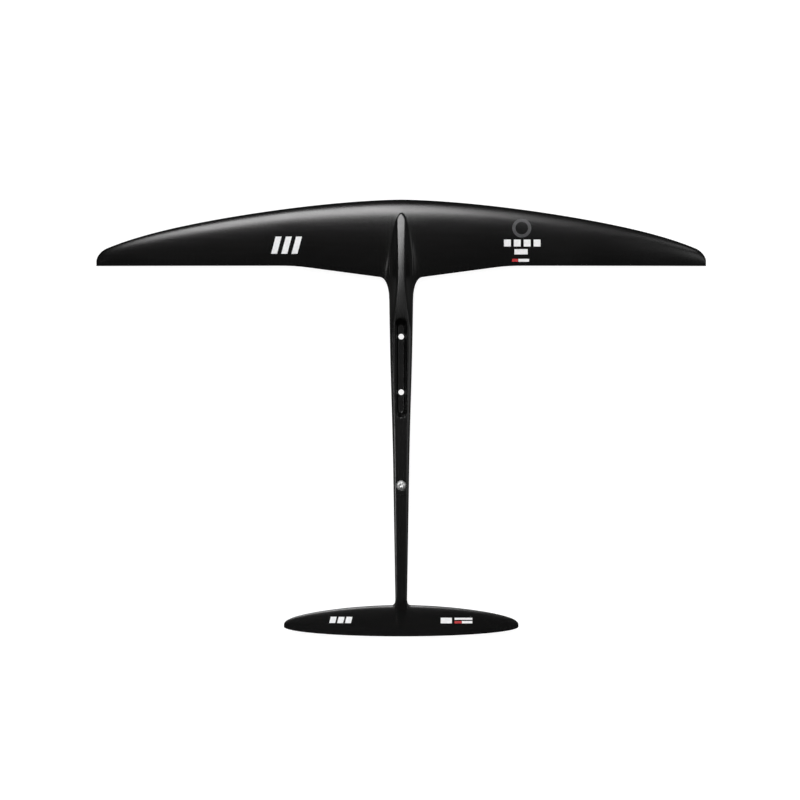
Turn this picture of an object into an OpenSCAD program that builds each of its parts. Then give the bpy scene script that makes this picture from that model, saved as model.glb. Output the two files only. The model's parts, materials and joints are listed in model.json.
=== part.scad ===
// Foil plane for a water sports board: front wing and front fuselage in one
// moulding, tail boom and stabiliser in another, held together by one screw.
// Origin: midway between the two mast screw holes, on the mast socket's floor.
// +X is starboard, +Y points to the nose, +Z is up towards the board.

/* [Front wing] */
// Span of the front wing, tip to tip
wing_span = 928; // [800:1:1000]
// Leading edge at the centreline, ahead of the mast screws
wing_nose_y = 250.3; // [240:0.1:270]
// Straight trailing edge, ahead of the mast screws
wing_rear_y = 149.9; // [145:0.1:155]
// How far the leading edge sweeps back over the half span
wing_sweep = 67.2; // [50:0.1:75]
// Extra sweep that sets in close to the tip
wing_tip_sweep = 13.4; // [5:0.1:15]
// Section thickness as a share of the chord
wing_thickness = 0.12; // [0.10:0.01:0.14]
// How far the tips hang below the root
wing_droop = 17; // [10:1:25]

/* [Fuselage] */
// Half width where the wing's trailing edge fillets end
body_half_root = 18.15; // [17:0.05:20]
// Half width at the joint between the two mouldings
body_half_joint = 11.6; // [11:0.05:13]
// Half width of the boom where the stabiliser starts
body_half_tail = 8.8; // [8:0.1:10]
// Height of the deck above the mast socket's floor
deck_z = 16; // [15:0.5:18]
// Depth of the belly below the mast socket's floor
belly_z = -14; // [-16:0.5:-13]
// Joint between the two mouldings, behind the mast screws
joint_y = -196.9; // [-200:0.1:-190]

/* [Stabiliser] */
// Span of the stabiliser, tip to tip
stab_span = 356; // [300:1:400]
// Leading edge of the stabiliser at the centreline
stab_nose_y = -365; // [-370:0.5:-360]
// Trailing edge of the stabiliser at the centreline
stab_rear_y = -412.6; // [-420:0.1:-405]
// Section thickness as a share of the chord
stab_thickness = 0.09; // [0.08:0.01:0.12]
// Camber of the stabiliser's section, which presses the tail down
stab_camber = -0.018; // [-0.03:0.001:0]

/* [Mast socket] */
// Distance between the two mast screws
mast_pitch = 84.3; // [80:0.1:90]
// Clearance hole for an M8 mast screw
mast_hole_d = 8.5; // [8.4:0.1:9]
// Countersink across the belly seat
seat_mouth_d = 16.4; // [16:0.1:17]

/* [Tail screw] */
// Centre of the tail screw, behind the mast screws
screw_y = -183.3; // [-185:0.1:-182]
// Thread diameter of the tail screw
screw_d = 8; // [6:1:8]
// Head diameter of the tail screw
screw_head_d = 14; // [12:0.5:14]
// Head height of the tail screw
screw_head_h = 4.4; // [4:0.1:5]
// Length of the shank below the head
screw_length = 16; // [14:1:16]

/* [Hidden] */
eps = 0.01;
wing_half = wing_span / 2;
stab_half = stab_span / 2;

// Laminate thickness of the wing, fuselage and stabiliser shells, and the glue gap
wing_wall = 1.2;
body_wall = 2;
stab_wall = 0.9;
glue = 0.3;
// Stations across the half fuselage, as shares of its half width, and the one where the
// inside of the shells starts
body_f = [0, 0.3, 0.58, 0.72, 0.84, 0.92, 0.97, 1];
inner_step = 4;
inner_share = body_f[inner_step];
inner_f = [for (i = [0:inner_step]) body_f[i]];

// Powers of the wing's sweep, droop and tip bends along the half span
sweep_power = 1.61;
tip_sweep_power = 8;
droop_power = 2.4;
tip_curl_power = 30;
// The trailing edge is straight outboard of the kink and runs aft inboard of it
kink_x = 161.7;
kink_slope = 0.1334;
kink_blend = 20;
// Fillet between the trailing edge and the fuselage's side, as a superellipse
fillet_x = 14;
fillet_y = 34;
fillet_power = 2.2;
root_c_start = 0.25;
root_c_span = 0.7;
tip_round_x = 16;
tip_round_y = 12.2;
wing_camber = 0.02;
wing_root_z = -9;
tip_curl = 3;
edge_thickness = 0.6;

// Deck and belly curves along the fuselage, and the slight bulge of its sides
body_bulge = 0.35;
ridge_power = 1.75;
aft_power = 1.15;
fade_power = 1.5;
ridge_start_y = 76;
ridge_end_drop = 15.7;
ridge_reach = 153;
belly_rise = 4;
deck_fall = 10;
boom_belly_rise = 9;
flat_half = 80;
blend_reach = 280;
split_z = 0.8;
split_reach = 90;
blend = 4;

// Fuselage section: a flat deck with chamfered shoulders above, rounder below. Along the
// wing root it turns into a narrow ridge with hollow flanks, which ends in a round point
deck_power = 26;
belly_power = 4;
shoulder_start = 0.68;
shoulder_slope = 0.3;
shoulder_y0 = 50;
shoulder_y1 = 140;
shoulder_blend = 0.05;
ridge_top_half = 6.1;
ridge_top_share = 0.7;
ridge_corner = 0.12;
flank_power = 1.45;
ridge_full_y = 150;
ridge_tip_y = 229;

// Stabiliser outline
stab_sweep = 29.6;
stab_bow = 5.3;
stab_rear_rise = 14.7;
stab_fillet_x = 6;
stab_fillet_y = 8;
stab_droop = 3;
stab_core_reach = 130;
ridge_end_y = -404;

// Mast socket: floor and rim outlines [front y, rear y, front half width, rear half width]
socket_floor = [61.5, -73.8, 5.25, 4.8];
socket_rim = [70.6, -80.6, 9.1, 8.6];
seat_z = -13.2;
seat_h = 6;
seat_d = 18.4;
block_front_y = 86;
block_rear_y = -97;

// Tail joint
joint_gap = 0.3;
front_end_y = joint_y + joint_gap / 2;
tail_start_y = joint_y - joint_gap / 2;
sleeve_front_y = -130;
tenon_front_y = -138;
tenon_half = 7.1;
tenon_bottom_z = -7;
tenon_top_z = 6.4;
tenon_fit = 0.1;
tenon_root = 46;
tenon_root_y = tail_start_y - tenon_root;
tenon_floor = 0.9;
head_seat_z = 9.6;
washer_h = 1;
washer_d = 13.6;
insert_d = 11;
insert_bottom_z = -4.4;
recess_d = 15.2;
screw_seat_d = 16;
screw_seat_h = 2.4;
run_clearance = 0.05;
shank_room = 0.5;
round_sides = 64;

// Screw head: straight rim below the dome, and the six-lobed recess
head_rim = 2;
recess_depth = 2.6;
recess_core_d = 5.2;
lobe_circle_r = 2.5;
lobe_d = 1.8;

// Spar and cores: reach, width, and edges as shares of the chord at root and end
spar_reach = 400;
spar_root_w = 12;
spar_tip_w = 5;
spar_chord = 0.33;
core_reach = 370;
nose_core_edge = [0.08, 0.12];
rear_core_edge = [0.8, 0.6];
rear_core_start_x = 22;
nose_core_gap = 1.5;
stab_core_front = 0.15;
stab_core_rear = 0.4;
boom_core_over = 8;

black = [0.06, 0.06, 0.065];
foam = [0.86, 0.84, 0.76];
carbon = [0.12, 0.12, 0.13];
steel = [0.72, 0.73, 0.74];
nylon = [0.9, 0.9, 0.88];

function clamp(v, lo = 0, hi = 1) = min(max(v, lo), hi);
function mix(a, b, t) = a + (b - a) * t;
function ease(t) = let (c = clamp(t)) c * c * (3 - 2 * c);
// The larger of two heights, with a soft corner k wide
function soft_max(a, b, k) = k <= eps ? max(a, b)
    : let (h = max(k - abs(a - b), 0) / k) max(a, b) + h * h * k / 4;
// Half thickness of an aerofoil section of thickness 1 at chord fraction c
function foil(c) = 5 * (0.2969 * sqrt(c) - 0.126 * c - 0.3516 * c * c
    + 0.2843 * pow(c, 3) - 0.1036 * pow(c, 4));
// How far a superelliptic fillet of size a by b cuts back at distance d along a
function fillet(d, a, b) = d >= a ? 0
    : b * (1 - pow(1 - pow(1 - clamp(d / a), fillet_power), 1 / fillet_power));

// Front wing outline, middle surface and section
function wing_u(x) = clamp(abs(x) / wing_half);
function tip_cut(u) = let (t = clamp((u - 1) * wing_half / tip_round_x + 1))
    tip_round_y * (1 - sqrt(1 - t * t));
function wing_nose(x) = let (u = wing_u(x)) wing_nose_y - wing_sweep * pow(u, sweep_power)
    - wing_tip_sweep * pow(u, tip_sweep_power) - tip_cut(u);
function wing_line(x) = wing_rear_y - kink_slope * soft_max(0, kink_x - abs(x), kink_blend);
function wing_rear(x) = wing_line(x)
    - fillet(max(abs(x) - body_half_root, 0), fillet_x, fillet_y);
fillet_end_y = wing_line(body_half_root) - fillet_y;
function wing_chord(x) = wing_nose(x) - wing_line(x);
// Chord fraction: up to the straight trailing edge ahead, and up to the fillet's edge aft
function wing_c(p) = let (
        back = wing_nose(p[0]) - p[1],
        c = clamp(back / wing_chord(p[0])),
        full = clamp(back / (wing_nose(p[0]) - max(wing_rear(p[0]), fillet_end_y))))
    mix(c, full, ease((c - root_c_start) / root_c_span));
function wing_mid(p) = let (u = wing_u(p[0]), c = wing_c(p))
    wing_root_z - wing_droop * pow(u, droop_power) - tip_curl * pow(u, tip_curl_power)
    + wing_camber * wing_chord(p[0]) * 4 * c * (1 - c);
function wing_depth(p) = (wing_thickness * wing_chord(p[0]) + edge_thickness)
    * foil(wing_c(p));

// Fuselage: half width, deck, belly and parting line along y
function body_half(y) = let (f = clamp((fillet_end_y - y) / (fillet_end_y - joint_y)))
    y < joint_y
    ? mix(body_half_joint, body_half_tail, clamp((joint_y - y) / (joint_y - stab_nose_y)))
    : mix(body_half_root, body_half_joint, f) + body_bulge * sin(360 * f);
function aft(y) = pow(clamp((-flat_half - y) / blend_reach, 0, 2), aft_power);
function fore(y) = clamp((y - ridge_start_y) / ridge_reach);
function deck(y) = deck_z - deck_fall * aft(y) - ridge_end_drop * pow(fore(y), ridge_power);
function belly(y) = belly_z + boom_belly_rise * aft(y) + belly_rise * pow(fore(y), 2);
function parting(y) = mix(wing_root_z, split_z * clamp((y - stab_nose_y) / -stab_nose_y),
    ease((fillet_end_y - y) / split_reach));
function ridge_half(y) = body_half(y)
    * sqrt(1 - pow(clamp((y - ridge_full_y) / (ridge_tip_y - ridge_full_y)), 2));
// Height of the section at half-width fraction f, as a share of its height on the centreline
function section(f, y, sign) = let (g = clamp(abs(f))) sign < 0
    ? sqrt(1 - pow(g, belly_power))
    : let (
        nose = ease((y - shoulder_y0) / (shoulder_y1 - shoulder_y0)),
        start = min(ridge_top_share, mix(shoulder_start * body_half(y), ridge_top_half, nose)
            / max(eps, ridge_half(y))),
        deck_part = (1 - shoulder_slope * soft_max(0, g - start, shoulder_blend))
            * sqrt(1 - pow(g, deck_power)),
        flank = pow(clamp(1 - soft_max(0, g - start, ridge_corner) / (1 - start)),
            flank_power))
    mix(deck_part, flank, nose);

// Front moulding: middle surface, and the outer or inner heights above and below it. The
// inside of the fuselage is inner_share as wide as the outside
function front_mid(p) = p[1] > fillet_end_y ? wing_mid(p) : parting(p[1]);
function front_height(p, end, sign, inner) = let (
        mid = front_mid(p), w = ridge_half(p[1]) * (inner ? inner_share : 1),
        depth = p[1] > fillet_end_y ? wing_depth(p) : 0,
        wing = depth - (inner && depth > 0 ? wing_wall : 0),
        reach = (end - parting(p[1])) * sign - (inner ? body_wall : 0),
        share = w > eps && abs(p[0]) <= w ? section(p[0] / w, p[1], sign) : 0,
        lift = (parting(p[1]) - mid) * sign)
    max(0, sign > 0 ? wing + max(0, lift + reach - wing) * share
        : soft_max(wing, share > 0 ? lift + reach * share : -100, min(blend, 2 * depth)));
function front_top(p, inner = false) =
    front_mid(p) + front_height(p, deck(p[1]), 1, inner);
function front_bottom(p, inner = false) =
    front_mid(p) - front_height(p, belly(p[1]), -1, inner);

// Stabiliser outline and section
function stab_v(x) = clamp(abs(x) / stab_half);
function arc_drop(v) = 1 - sqrt(1 - v * v);
function stab_nose(x) = let (v = stab_v(x)) stab_nose_y - stab_sweep * arc_drop(v)
    - stab_bow * v * v * (1 - v * v)
    + fillet(max(abs(x) - body_half_tail, 0), stab_fillet_x, stab_fillet_y);
function stab_rear(x) = stab_rear_y + stab_rear_rise * arc_drop(stab_v(x));
boom_end_y = stab_nose(body_half_tail);
function stab_c(p) = let (nose = min(stab_nose(p[0]), boom_end_y))
    clamp((nose - p[1]) / (nose - stab_rear(p[0])));
function stab_mid(p) = let (c = stab_c(p)) -stab_droop * pow(stab_v(p[0]), 2)
    + stab_camber * (stab_nose(p[0]) - stab_rear(p[0])) * 4 * c * (1 - c);
function stab_depth(p) = foil(stab_c(p)) * (stab_thickness
    * (stab_nose(p[0]) - stab_rear(p[0])) + edge_thickness);
function tail_mid(p) = p[1] > boom_end_y ? parting(p[1]) : stab_mid(p);
function tail_fade(y) = clamp((boom_end_y - y) / (boom_end_y - ridge_end_y));
function tail_height(p, end, sign, inner) = let (
        fade = tail_fade(p[1]),
        w = body_half(p[1]) * sqrt(1 - fade * fade) * (inner ? inner_share : 1),
        depth = p[1] < boom_end_y ? stab_depth(p) : 0,
        reach = (end - parting(p[1])) * sign * (1 - pow(fade, fade_power))
            - (inner ? body_wall : 0),
        ridge = w > eps && abs(p[0]) <= w ? reach * section(p[0] / w, p[1], sign) : -100)
    max(0, p[1] < boom_end_y
        ? soft_max(depth - (inner ? stab_wall : 0), ridge, min(blend / 2, 2 * depth)) : ridge);
function tail_top(p, inner = false) =
    tail_mid(p) + tail_height(p, deck(p[1]), 1, inner);
function tail_bottom(p, inner = false) =
    tail_mid(p) - tail_height(p, belly(p[1]), -1, inner);

// A closed solid between two height functions over rows of [x, y] points. Rows run from
// nose to tail and each from port to starboard, and a row may be wider than its neighbour.
module panel(rows, upper, lower) {
    last = len(rows) - 1;
    half = [for (row = rows) (len(row) - 1) / 2];
    start = [for (r = 0, sum = 0; r <= last; sum = sum + len(rows[r]), r = r + 1) sum];
    flat = [for (row = rows) each row];
    top = [for (p = flat) [p[0], p[1], upper(p)]];
    low = [for (p = flat) [p[0], p[1], lower(p)]];
    function t(r, i) = start[r] + half[r] + i;
    function b(r, i) = let (k = t(r, i)) top[k][2] - low[k][2] < eps / 10 ? k : k + len(flat);
    function above(r) = r == 0 ? 0 : min(half[r - 1], half[r]);
    function below(r) = r == last ? 0 : min(half[r], half[r + 1]);
    function inside(i, m) = i >= -m && i < m;
    quads = [
        for (r = [0:last - 1]) let (m = below(r)) each [
            for (i = [-m:m - 1]) each [
                [t(r, i), t(r, i + 1), t(r + 1, i + 1), t(r + 1, i)],
                [b(r, i), b(r + 1, i), b(r + 1, i + 1), b(r, i + 1)]],
            [t(r + 1, m), t(r, m), b(r, m), b(r + 1, m)],
            [t(r, -m), t(r + 1, -m), b(r + 1, -m), b(r, -m)]],
        for (r = [0:last]) for (i = [-half[r]:half[r] - 1]) each [
            if (inside(i, below(r)) && !inside(i, above(r)))
                [t(r, i + 1), t(r, i), b(r, i), b(r, i + 1)],
            if (!inside(i, below(r)) && inside(i, above(r)))
                [t(r, i), t(r, i + 1), b(r, i + 1), b(r, i)]]];
    polyhedron(concat(top, low), [
        for (q = quads) for (f = [[q[0], q[1], q[2]], [q[0], q[2], q[3]]])
            if (f[0] != f[1] && f[1] != f[2] && f[0] != f[2]) f]);
}

// Mirrors a list of half stations, which starts with 0, into a full row from port
function both(xs) = concat([for (i = [len(xs) - 1:-1:1]) -xs[i]], xs);
// Chord fractions, close together at the leading edge
function chordwise(n) = [for (j = [0:n]) 1 - cos(90 * j / n)];

wing_steps = 13;
fillet_steps = 4;
wing_x = concat(body_half_root * body_f,
    [for (i = [1:fillet_steps]) body_half_root + fillet_x * pow(i / fillet_steps, 1.5)],
    [for (i = [1:wing_steps]) mix(body_half_root + fillet_x, wing_half,
        sin(90 * i / wing_steps))]);
wing_c_steps = 15;
body_steps = 13;
body_ys = [for (j = [0:body_steps]) mix(block_front_y, front_end_y, j / body_steps)];
front_ys = concat([for (c = chordwise(wing_c_steps)) mix(wing_nose_y, fillet_end_y, c)],
    body_ys);
front_rows = concat(
    [for (c = chordwise(wing_c_steps)) [for (x = both(wing_x))
        [x, mix(wing_nose(x), abs(x) > body_half_root ? wing_rear(x) : fillet_end_y, c)]]],
    [for (y = body_ys) [for (f = both(body_f)) [f * body_half(y), y]]]);

stab_steps = 9;
stab_x = concat(body_half_tail * body_f,
    [body_half_tail + stab_fillet_x / 3, body_half_tail + stab_fillet_x],
    [for (i = [1:stab_steps]) mix(body_half_tail + stab_fillet_x, stab_half,
        sin(90 * i / stab_steps))]);
boom_steps = 9;
stab_c_steps = 8;
tail_ys = [for (j = [0:boom_steps - 1]) mix(tail_start_y, boom_end_y, j / boom_steps)];
tail_rows = concat(
    [for (y = tail_ys) [for (f = both(body_f)) [f * body_half(y), y]]],
    [for (c = chordwise(stab_c_steps)) [for (x = both(stab_x))
        [x, mix(min(stab_nose(x), boom_end_y), stab_rear(x), c)]]]);

// Closed outline of a slot with round ends
function slot_points(s, z, n = 10) = concat(
    [for (i = [0:n]) let (a = 180 * i / n)
        [s[2] * cos(a), s[0] - s[2] + s[2] * sin(a), z]],
    [for (i = [0:n]) let (a = 180 + 180 * i / n)
        [s[3] * cos(a), s[1] + s[3] + s[3] * sin(a), z]]);

// The wedge-shaped pocket that the mast's foot sits in, open upwards
module mast_pocket() {
    over = 1.25; // share of the depth to which the cutter runs
    rim = [for (i = [0:3]) mix(socket_floor[i], socket_rim[i], over)];
    low = slot_points(socket_floor, 0);
    high = slot_points(rim, deck_z * over);
    n = len(low);
    polyhedron(concat(low, high), concat(
        [for (i = [1:n - 2]) [0, i, i + 1]],
        [for (i = [1:n - 2]) [n, n + i + 1, n + i]],
        [for (i = [0:n - 1]) let (j = (i + 1) % n) each [[i, n + j, j], [i, n + i, n + j]]]));
}

// Repeats its children at both mast screws
module at_mast_screws() {
    for (side = [-1, 1])
        translate([0, side * mast_pitch / 2, 0]) children();
}

// A straight round hole or post from z0 to z1 at the tail screw
module at_tail_screw(d, z0, z1) {
    translate([0, screw_y, z0]) cylinder(d = d, h = z1 - z0, $fn = round_sides);
}

// Upper shell of the wing and front fuselage, open over the socket and the tail screw
module front_skin_upper() {
    color(black) difference() {
        panel(front_rows, function (p) front_top(p), function (p) front_top(p, true));
        mast_pocket();
        at_tail_screw(recess_d, 0, deck_z);
    }
}

// Lower shell of the wing and front fuselage, open under the mast screws
module front_skin_lower() {
    color(black) difference() {
        panel(front_rows, function (p) front_bottom(p, true), function (p) front_bottom(p));
        at_mast_screws() translate([0, 0, belly_z - 1])
            cylinder(d = seat_d + 2 * run_clearance, h = seat_h, $fn = round_sides);
    }
}

// Foam or laminate that fills the inside of the front shells over rows of [x, y] points
module front_fill(rows) {
    panel(rows,
        function (p) max(front_mid(p), front_top(p, true) - glue),
        function (p) min(front_mid(p), front_bottom(p, true) + glue));
}

// The same for the tail shells
module tail_fill(rows) {
    panel(rows,
        function (p) max(tail_mid(p), tail_top(p, true) - glue),
        function (p) min(tail_mid(p), tail_bottom(p, true) + glue));
}

// Rows between two lines of y over stations xs
function span_rows(xs, fore_y, rear_y, n) =
    [for (j = [0:n]) [for (x = xs) [x, mix(fore_y(x), rear_y(x), j / n)]]];
// Rows that follow the fuselage's inside from y0 to y1, with the shells' own rows between
function body_rows(y0, y1, ys) =
    [for (y = concat([y0], [for (y = ys) if (y < y0 - 1 && y > y1 + 1) y], [y1]))
        [for (f = both(inner_f)) [f * body_half(y), y]]];

function spar_w(x) = mix(spar_root_w, spar_tip_w, abs(x) / spar_reach);
function spar_y(x) = wing_nose(x) - spar_chord * wing_chord(x);
function core_edge_y(x, edge) = wing_nose(x)
    - mix(edge[0], edge[1], abs(x) / spar_reach) * wing_chord(x);
// The cores follow the shells' own stations from x0 to x1
function core_x(x0, x1, all) = [for (x = all) if (x >= x0 && x <= x1) x];
function sided(xs, side) = side > 0 ? xs : [for (i = [len(xs) - 1:-1:0]) -xs[i]];

// Spanwise strip of unidirectional carbon that joins the two half wings
module wing_spar() {
    color(carbon) front_fill(span_rows(both(core_x(0, spar_reach, wing_x)),
        function (x) spar_y(x) + spar_w(x) / 2, function (x) spar_y(x) - spar_w(x) / 2, 2));
}

// Foam ahead of the spar on one side
module wing_nose_core(side) {
    xs = concat([glue], core_x(1, core_reach, wing_x));
    color(foam) front_fill(span_rows(sided(xs, side), function (x) core_edge_y(x, nose_core_edge),
        function (x) spar_y(x) + spar_w(x) / 2 + glue, 4));
}

// Foam behind the spar on one side
module wing_rear_core(side) {
    color(foam) front_fill(span_rows(sided(core_x(rear_core_start_x, core_reach, wing_x), side),
        function (x) spar_y(x) - spar_w(x) / 2 - glue,
        function (x) core_edge_y(x, rear_core_edge), 5));
}

module wing_nose_core_left() { wing_nose_core(-1); }
module wing_nose_core_right() { wing_nose_core(1); }
module wing_rear_core_left() { wing_rear_core(-1); }
module wing_rear_core_right() { wing_rear_core(1); }

// Foam under the ridge between the spar and the mast block
module fuselage_nose_core() {
    color(foam) front_fill(body_rows(spar_y(0) - spar_w(0) / 2 - nose_core_gap,
        block_front_y + glue, front_ys));
}

// Solid laminate block with the mast pocket and the two screw holes
module mast_block() {
    color(black) difference() {
        front_fill(body_rows(block_front_y, block_rear_y, front_ys));
        mast_pocket();
        at_mast_screws() translate([0, 0, belly_z])
            cylinder(d = mast_hole_d, h = deck_z, $fn = round_sides);
        at_mast_screws() translate([0, 0, belly_z])
            cylinder(d = seat_d + 2 * run_clearance, h = seat_z + seat_h - belly_z + run_clearance,
                $fn = round_sides);
    }
}

// Metal seats for the countersunk mast screws, set in the belly
module mast_bolt_seats() {
    cone_h = (seat_mouth_d - mast_hole_d) / 2;
    color(steel) at_mast_screws() translate([0, 0, seat_z]) difference() {
        cylinder(d = seat_d, h = seat_h, $fn = round_sides);
        translate([0, 0, -1]) cylinder(d = mast_hole_d, h = seat_h + 2, $fn = round_sides);
        translate([0, 0, -eps]) cylinder(d1 = seat_mouth_d, d2 = mast_hole_d, h = cone_h,
            $fn = round_sides);
    }
}

// Foam between the mast block and the tail sleeve
module fuselage_core() {
    color(foam) front_fill(body_rows(block_rear_y - glue, sleeve_front_y + glue,
        front_ys));
}

// Laminate sleeve in the rear end of the front moulding that the tenon slides into
module tail_sleeve() {
    color(carbon) difference() {
        front_fill(body_rows(sleeve_front_y, front_end_y + glue, front_ys));
        translate([-tenon_half - tenon_fit, joint_y - 1, tenon_bottom_z - tenon_fit])
            cube([2 * (tenon_half + tenon_fit), tenon_front_y + tenon_fit - joint_y + 1,
                tenon_top_z - tenon_bottom_z + 2 * tenon_fit]);
        at_tail_screw(screw_d + shank_room, 0, deck_z);
        at_tail_screw(screw_seat_d + 2 * run_clearance, head_seat_z - screw_seat_h
            - run_clearance, deck_z);
    }
}

// Metal ring under the deck that the tail screw's washer bears on
module tail_screw_seat() {
    color(steel) difference() {
        at_tail_screw(screw_seat_d, head_seat_z - screw_seat_h, head_seat_z);
        at_tail_screw(screw_d + shank_room, 0, deck_z);
    }
}

// Upper and lower shells of the tail boom and stabiliser
module tail_skin_upper() {
    color(black) panel(tail_rows, function (p) tail_top(p), function (p) tail_top(p, true));
}

module tail_skin_lower() {
    color(black) panel(tail_rows, function (p) tail_bottom(p, true),
        function (p) tail_bottom(p));
}

// Laminate tenon of the tail moulding, bored for the threaded insert and the screw's end
module tail_tenon() {
    color(carbon) difference() {
        union() {
            translate([-tenon_half, tail_start_y - 1, tenon_bottom_z])
                cube([2 * tenon_half, tenon_front_y - tail_start_y + 1,
                    tenon_top_z - tenon_bottom_z]);
            tail_fill(body_rows(tail_start_y - glue, tenon_root_y, tail_ys));
        }
        at_tail_screw(insert_d + 2 * run_clearance, insert_bottom_z - run_clearance,
            tenon_top_z + 1);
        at_tail_screw(screw_d + shank_room, tenon_bottom_z + tenon_floor, tenon_top_z);
    }
}

// Threaded metal insert in the tenon; the thread is a plain bore at its major diameter
module tail_threaded_insert() {
    color(steel) difference() {
        at_tail_screw(insert_d, insert_bottom_z, tenon_top_z);
        at_tail_screw(screw_d, insert_bottom_z - 1, tenon_top_z + 1);
    }
}

// Foam inside the boom behind the tenon
module tail_boom_core() {
    color(foam) tail_fill(body_rows(tenon_root_y - glue, boom_end_y + boom_core_over,
        tail_ys));
}

// Core of one half of the stabiliser
module stabilizer_core(side) {
    function chord(x) = stab_nose(x) - stab_rear(x);
    color(carbon) tail_fill(span_rows(
        sided(core_x(body_half_tail + stab_fillet_x, stab_core_reach, stab_x), side),
        function (x) stab_nose(x) - stab_core_front * chord(x),
        function (x) stab_rear(x) + stab_core_rear * chord(x), 4));
}

module stabilizer_core_left() { stabilizer_core(-1); }
module stabilizer_core_right() { stabilizer_core(1); }

// Washer under the tail screw's head, which lifts out with it
module tail_screw_washer() {
    color(nylon) difference() {
        at_tail_screw(washer_d, head_seat_z, head_seat_z + washer_h);
        at_tail_screw(screw_d + 2 * run_clearance, head_seat_z - 1, head_seat_z + washer_h + 1);
    }
}

// Button-head screw with a six-lobed recess; the thread is a plain shank
module tail_screw() {
    under = head_seat_z + washer_h;
    top = under + screw_head_h;
    dome_h = screw_head_h - head_rim;
    dome_r = (pow(screw_head_d / 2, 2) + pow(dome_h, 2)) / (2 * dome_h);
    color(steel) difference() {
        union() {
            at_tail_screw(screw_d - 2 * run_clearance, under - screw_length, under + eps);
            intersection() {
                at_tail_screw(screw_head_d, under, top);
                translate([0, screw_y, top - dome_r]) sphere(dome_r, $fn = 96);
            }
        }
        translate([0, screw_y, top - recess_depth]) for (i = [0:5])
            rotate(60 * i) translate([lobe_circle_r, 0, 0])
                cylinder(d = lobe_d, h = screw_head_h, $fn = 24);
        at_tail_screw(recess_core_d, top - recess_depth, top + 1);
    }
}

front_skin_upper();
front_skin_lower();
wing_spar();
wing_nose_core_left();
wing_nose_core_right();
wing_rear_core_left();
wing_rear_core_right();
fuselage_nose_core();
mast_block();
mast_bolt_seats();
fuselage_core();
tail_sleeve();
tail_screw_seat();
tail_skin_upper();
tail_skin_lower();
tail_tenon();
tail_threaded_insert();
tail_boom_core();
stabilizer_core_left();
stabilizer_core_right();
tail_screw_washer();
tail_screw();
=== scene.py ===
import json
import math

import bmesh
import bpy
import numpy as np
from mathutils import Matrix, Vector


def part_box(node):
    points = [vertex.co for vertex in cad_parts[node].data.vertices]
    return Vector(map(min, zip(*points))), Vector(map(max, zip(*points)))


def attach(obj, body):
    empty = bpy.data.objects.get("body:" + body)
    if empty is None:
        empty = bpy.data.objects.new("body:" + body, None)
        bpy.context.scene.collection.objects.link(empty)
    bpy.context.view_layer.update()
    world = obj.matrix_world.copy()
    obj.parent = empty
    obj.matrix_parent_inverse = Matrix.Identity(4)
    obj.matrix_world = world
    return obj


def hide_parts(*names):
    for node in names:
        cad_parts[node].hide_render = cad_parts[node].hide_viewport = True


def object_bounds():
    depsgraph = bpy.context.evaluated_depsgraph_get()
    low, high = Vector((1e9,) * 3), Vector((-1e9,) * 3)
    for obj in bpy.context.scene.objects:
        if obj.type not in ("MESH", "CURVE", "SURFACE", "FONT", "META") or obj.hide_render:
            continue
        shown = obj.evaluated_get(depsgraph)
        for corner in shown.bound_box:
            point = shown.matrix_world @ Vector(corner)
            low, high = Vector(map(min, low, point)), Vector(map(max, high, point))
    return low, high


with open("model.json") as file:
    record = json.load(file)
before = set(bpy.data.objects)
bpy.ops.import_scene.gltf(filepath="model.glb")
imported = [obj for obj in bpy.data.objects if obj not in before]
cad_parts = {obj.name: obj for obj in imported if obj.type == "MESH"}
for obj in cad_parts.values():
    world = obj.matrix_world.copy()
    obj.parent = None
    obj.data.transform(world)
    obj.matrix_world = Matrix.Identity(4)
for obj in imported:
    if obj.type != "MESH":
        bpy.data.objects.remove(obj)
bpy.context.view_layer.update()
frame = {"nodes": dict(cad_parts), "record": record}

MM = 0.001
mounts = {m["name"]: m for m in frame["record"]["mounts"]}


def span(node, axis):
    """Lowest and highest coordinate of a CAD node along one axis, in mm."""
    low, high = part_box(node)
    return low[axis] / MM, high[axis] / MM


# ---------------------------------------------------------------- driving sizes, in mm
WING_HALF = span("front_skin_upper", 0)[1]
WING_NOSE_Y = 250.3
WING_REAR_Y = 149.9
JOINT_Y = -196.9
FRONT_END_Y = span("front_skin_upper", 1)[0]
TAIL_START_Y = span("tail_skin_upper", 1)[1]
STAB_HALF = span("tail_skin_upper", 0)[1]
STAB_NOSE_Y = -365.0
STAB_REAR_Y = -412.6
SCREW_Y = sum(span("tail_screw", 1)) / 2
SCREW_TOP = span("tail_screw", 2)[1]
SCREW_TIP = span("tail_screw", 2)[0]
HEAD_R = span("tail_screw", 0)[1]
MAST_HALF_PITCH = mounts["mast_screws"]["dims"]["spacing_y_mm"] / 2
MAST_HOLE_R = mounts["mast_screws"]["dims"]["hole_r_mm"]

SWEEP, TIP_SWEEP = 67.2, 13.4
SWEEP_POWER, TIP_SWEEP_POWER, DROOP_POWER, TIP_CURL_POWER = 1.61, 8, 2.4, 30
ROOT_C_START, ROOT_C_SPAN = 0.25, 0.7
TIP_ROUND_X, TIP_ROUND_Y = 16, 12.2
KINK_X, KINK_SLOPE, KINK_BLEND = 161.7, 0.1334, 20
FILLET_X, FILLET_Y, FILLET_POWER = 14, 34, 2.2
WING_THICKNESS, EDGE, CAMBER = 0.12, 0.6, 0.02
ROOT_Z, DROOP, TIP_CURL = -9, 17, 3
HALF_ROOT, HALF_JOINT, HALF_TAIL, BODY_BULGE = 18.15, 11.6, 8.8, 0.35
DECK_Z, BELLY_Z = 16, -14
BLEND = 4
FLAT_HALF, BLEND_REACH, AFT_POWER = 80, 280, 1.15
DECK_FALL, BELLY_AFT_RISE, BELLY_NOSE_RISE, BELLY_POWER = 10, 9, 4, 4
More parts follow.
